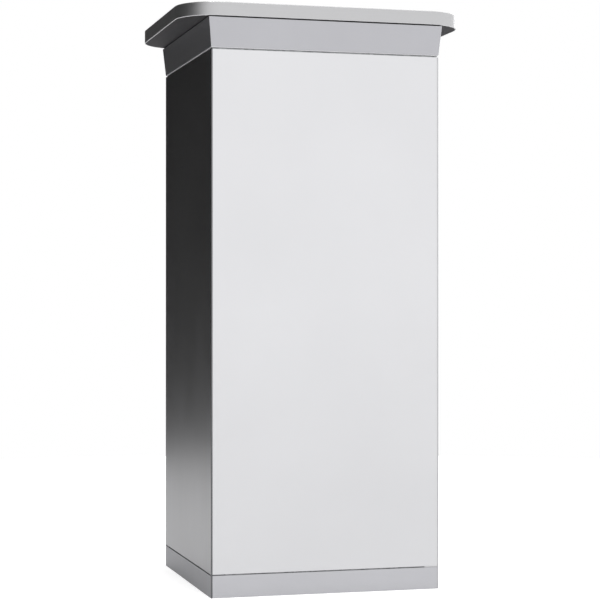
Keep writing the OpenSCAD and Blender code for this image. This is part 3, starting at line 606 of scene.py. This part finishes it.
# ---- Master door
# One front sheet with folded edges and bars between the doors, in the same fine-grained coat.
# It opens as a whole for the carrier. Bored lugs at each opening hold that door's hinge pin.
DOOR_SHEET = 3
DOOR_FOLD = 2
DOOR_DEEP = 22
BAR_DEEP = 17
STILE = 22.0
MULLION = 26.0
RAIL = 16.0
END_RAIL = 24.0
SLOT_BAND = 84.0
ROW = 130.0
FLAP_PAST_SIDE = 8
FLAP_PAST_FOOT = 6
SLOT_TALL = 32
LUG_MOST = 12
column = (door[2] - door[0] - 2 * STILE - MULLION) / 2
lefts = [door[0] + STILE, door[0] + STILE + column + MULLION]
field = (lefts[0], door[1] + END_RAIL, lefts[1] + column, door[3] - END_RAIL - SLOT_BAND - RAIL)
row_feet = [field[3] - ROW - row * (ROW + RAIL) for row in range(4)]
parcel = (row_feet[3] - RAIL - field[1] - RAIL) / 2
parcel_feet = [row_feet[3] - RAIL - parcel, field[1]]
flap_low, flap_high = [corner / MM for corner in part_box("letter_flap")]
slot_foot = flap_low.z + FLAP_PAST_FOOT
door_boxes = ring(door, field, face, face + DOOR_SHEET)
door_boxes += ring(door, grown(door, -DOOR_FOLD), face + DOOR_SHEET, face + DOOR_DEEP)
door_boxes += ring(grown(door, -DOOR_FOLD), grown(door, -LIP), face + DOOR_DEEP - DOOR_FOLD,
                   face + DOOR_DEEP)
door_boxes += ring(grown(field, DOOR_FOLD), field, face + DOOR_SHEET, face + BAR_DEEP)
for foot in row_feet + parcel_feet[:1]:
    door_boxes.append(((field[0], face, foot - RAIL), (field[2], face + BAR_DEEP, foot)))
mullion = (lefts[0] + column, lefts[1])
door_boxes.append(((mullion[0], face, row_feet[3]), (mullion[1], face + BAR_DEEP, field[3])))
letter_slot = ((flap_low.x + FLAP_PAST_SIDE, face - 1, slot_foot),
               (flap_high.x - FLAP_PAST_SIDE, face + DOOR_SHEET + 1, slot_foot + SLOT_TALL))
door_cuts = [letter_slot, *rod_holes(door, inward=3, outward=1)]
door_mesh = welded("master_door_sheet", door_boxes, door_cuts)
lug_mesh = copied("master_frame", lambda size: max(size) < LUG_MOST * MM)
fitted("master_door_sheet", door_mesh, "master_door", frame_coat,
       ["master_frame"], edge=0.6)
fitted("hinge_lugs", lug_mesh, "master_door", frame_coat, edge=0.25)


# ---- Continuous hinge and small hinge pins
# Brushed stainless leaves and knuckles run the master door's full height on one long pin. The
# small doors turn on ground stainless pins.
def brushed(name, color, roughness, along, depth=1.0):
    """Metal with fine grinding lines along one axis."""
    bare = Finish(name, color, roughness)
    stretch = [0.03 if axis == along else 1.0 for axis in range(3)]
    lines = bare.noise(2400.0, stretch, 3.0)
    broad = bare.noise(300.0, stretch, 2.0, 4.0)
    smear = bare.noise(11.0, detail=4.0, seed=7.0)
    tone = lines * 0.5 + broad * 0.3 + smear * 0.2
    bare.set("Base Color", bare.blend(tone, [c * 0.86 for c in color], [c * 1.12 for c in color]))
    bare.set("Roughness", roughness - 0.06 + broad * 0.06 + smear * 0.06)
    bare.bumps(lines * 0.7 + broad * 0.3, 0.00003 * depth, 0.5)
    return bare.material


stainless = brushed("stainless_long_grain", (0.32, 0.32, 0.325), 0.32, 2)
coat(stainless, "cabinet_hinge_leaf", "door_hinge_leaf", "master_hinge_pin", "leaf_hinge_pins")

# ---- Gasket
# Closed-cell rubber strips on the door's lip, butted at the corners and squeezed on closing.
rubber = Finish("gasket_rubber", (0.03, 0.03, 0.032), 0.72, 0.0)
foam = rubber.noise(1500.0, detail=2.0)
dusty = rubber.noise(40.0, detail=4.0)
rubber.set("Base Color", rubber.blend(dusty, (0.022, 0.022, 0.024), (0.05, 0.05, 0.05)))
rubber.set("Roughness", 0.62 + foam * 0.2)
rubber.bumps(foam, 0.0002, 0.5)
fitted("gasket_strips", copied("door_gasket"), "master_door", rubber.material,
       ["door_gasket"], edge=0.9, steps=3)

# ---- Compartments
# Liner, shelves, dividers and floor of mill-finish aluminium sheet, riveted and left bare.
mill = Finish("mill_aluminium", (0.42, 0.42, 0.425), 0.38)
rolled = mill.noise(700.0, (1, 0.04, 0.4), 3.0)
scuffs = mill.noise(35.0, (1, 0.5, 1), 5.0, 2.2)
worn = rolled * 0.4 + scuffs * 0.6
mill.set("Base Color", mill.blend(worn, (0.35, 0.352, 0.36), (0.48, 0.483, 0.49)))
mill.set("Roughness", 0.30 + scuffs * 0.16)
mill.bumps(rolled, 0.00003, 0.4)
coat(mill.material, "compartment_liner", "compartment_shelves", "column_dividers", "floor_panel")

# ---- Tenant and parcel doors
# Sheet doors with folded edges in the satin silver of the panels. A blank stainless number
# plate sits in a shallow seat and is held by two rivets. The lock's collar is bright chrome.
leaf_coat = powder("leaf_silver", (0.40, 0.40, 0.41), 0.36)
plate_metal = brushed("plate_stainless", (0.25, 0.25, 0.255), 0.30, 0)
chrome = Finish("lock_chrome", (0.30, 0.30, 0.31), 0.12)
wiped = chrome.noise(900.0, (1, 1, 0.08), 3.0)
breath = chrome.noise(60.0, detail=4.0)
chrome.set("Base Color", chrome.blend(breath, (0.25, 0.25, 0.26), (0.34, 0.34, 0.35)))
chrome.set("Roughness", 0.08 + wiped * 0.10)
chrome.bumps(wiped, 0.00001, 0.4)
PLATE = (54.0, 18.0)
PLATE_CORNER = 2.0
PLATE_CORNER_STEPS = 4
PLATE_EDGE = ((0.0, 0.55), (0.0, 0.15), (0.12, 0.03), (0.35, 0.0))
RIVET_FROM_END = 4.5
RIVET_STEPS = 20
RIVET_DOME = ((1.6, 0.05), (1.5, -0.35), (1.15, -0.65), (0.6, -0.8))
COLLAR_MOST = 60


def number_plate(name, middle_x, middle_z):
    """A thin plate with round corners and two domed rivets, on the seat in a door's face. Its
    edge is given as insets and depths from that face, and a rivet's dome as radii and depths."""
    shape = bmesh.new()

    def row(points, depth):
        return [shape.verts.new((x * MM, (face + depth) * MM, z * MM)) for x, z in points]

    rows = []
    for inset, depth in PLATE_EDGE:
        turns = rounded(PLATE[0] / 2 - inset, PLATE[1] / 2 - inset, PLATE_CORNER - inset,
                        PLATE_CORNER_STEPS)
        rows.append(row([(middle_x + x, middle_z + z) for x, z in turns], depth))
    banded(shape, rows)
    shape.faces.new(rows[0])
    shape.faces.new(rows[-1][::-1])
    for side in (-1, 1):
        rivet_x = middle_x + side * (PLATE[0] / 2 - RIVET_FROM_END)
        rows = []
        for radius, depth in RIVET_DOME:
            angles = [math.radians(360 * step / RIVET_STEPS) for step in range(RIVET_STEPS)]
            rows.append(row([(rivet_x + radius * math.cos(angle),
                              middle_z + radius * math.sin(angle)) for angle in angles], depth))
        banded(shape, rows)
        shape.faces.new(rows[-1][::-1])
    bmesh.ops.recalc_face_normals(shape, faces=shape.faces)
    return meshed(name, shape)


leaves = []
for k in range(8):
    row, side = divmod(k, 2)
    leaves.append(("tenant", k + 1, lefts[side] + column / 2, row_feet[row] + ROW / 2))
for k, foot in enumerate(parcel_feet):
    leaves.append(("parcel", k + 1, field[0] + (field[2] - field[0]) / 2, foot + parcel / 2))
for kind, k, middle_x, middle_z in leaves:
    node = f"{kind}_door_{k}"
    body = f"{kind}_leaf_{k}"
    leaf = copied(node, lambda size: max(size) > COLLAR_MOST * MM)
    collar = copied(node, lambda size: max(size) < COLLAR_MOST * MM)
    fitted(node + "_sheet", leaf, body, leaf_coat, [node], edge=0.3)
    fitted(node + "_collar", collar, body, chrome.material, edge=0.35)
    plate = number_plate(node + "_plate", middle_x, middle_z)
    fitted(node + "_plate", plate, body, plate_metal, edge=0)

# ---- Cam locks
# A chromed plug with a keyway turns in each collar and carries a steel cam behind the door.
for kind, k, *_ in leaves:
    node = f"{kind}_lock_{k}"
    fitted(node + "_plug", copied(node), f"{kind}_cam_{k}", chrome.material, [node],
           edge=0.2)

# ---- Letter slot
# An anodised drip visor over the slot, and a top-hung flap that swings in on a stainless pin.
anodised = brushed("anodised_aluminium", (0.31, 0.31, 0.315), 0.34, 0)
fitted("slot_visor_strip", copied("slot_visor"), "master_door", anodised,
       ["slot_visor"], edge=0.5)
fitted("letter_flap_plate", copied("letter_flap"), "flap", anodised,
       ["letter_flap"], edge=0.4)
coat(stainless, "flap_pin")

# ---- Rod latch
# A brass pinion on the key plug drives two zinc-plated racks into keepers over and under the
# door. The case, guides, keepers, studs and cap bolts are zinc-plated too.
plated = Finish("zinc_plate", (0.36, 0.36, 0.355), 0.30)
passivated = plated.noise(22.0, detail=5.0)
fine = plated.noise(1800.0, detail=2.0, seed=1.0)
plated.set("Base Color", plated.blend(passivated, (0.30, 0.31, 0.33), (0.42, 0.41, 0.38)))
plated.set("Roughness", 0.24 + passivated * 0.1 + fine * 0.06)
plated.bumps(fine, 0.00002, 0.4)
coat(plated.material, "upper_rod", "lower_rod", "rod_guides", "rod_keepers", "panel_studs",
     "cap_bolts")
fitted("lock_case_shell", copied("lock_case"), "master_door", plated.material,
       ["lock_case"], edge=0.4)
brass = Finish("machined_brass", (0.44, 0.31, 0.13), 0.26)
turned_lines = brass.noise(1600.0, (1, 0.1, 1), 2.0)
tarnish = brass.noise(80.0, detail=4.0, seed=3.0)
brass.set("Base Color", brass.blend(tarnish, (0.36, 0.25, 0.10), (0.50, 0.37, 0.17)))
brass.set("Roughness", 0.18 + tarnish * 0.14)
brass.bumps(turned_lines, 0.00002, 0.5)
coat(brass.material, "latch_pinion")
fitted("master_key_plug", copied("master_plug"), "latch", brass.material,
       ["master_plug"], edge=0.25)
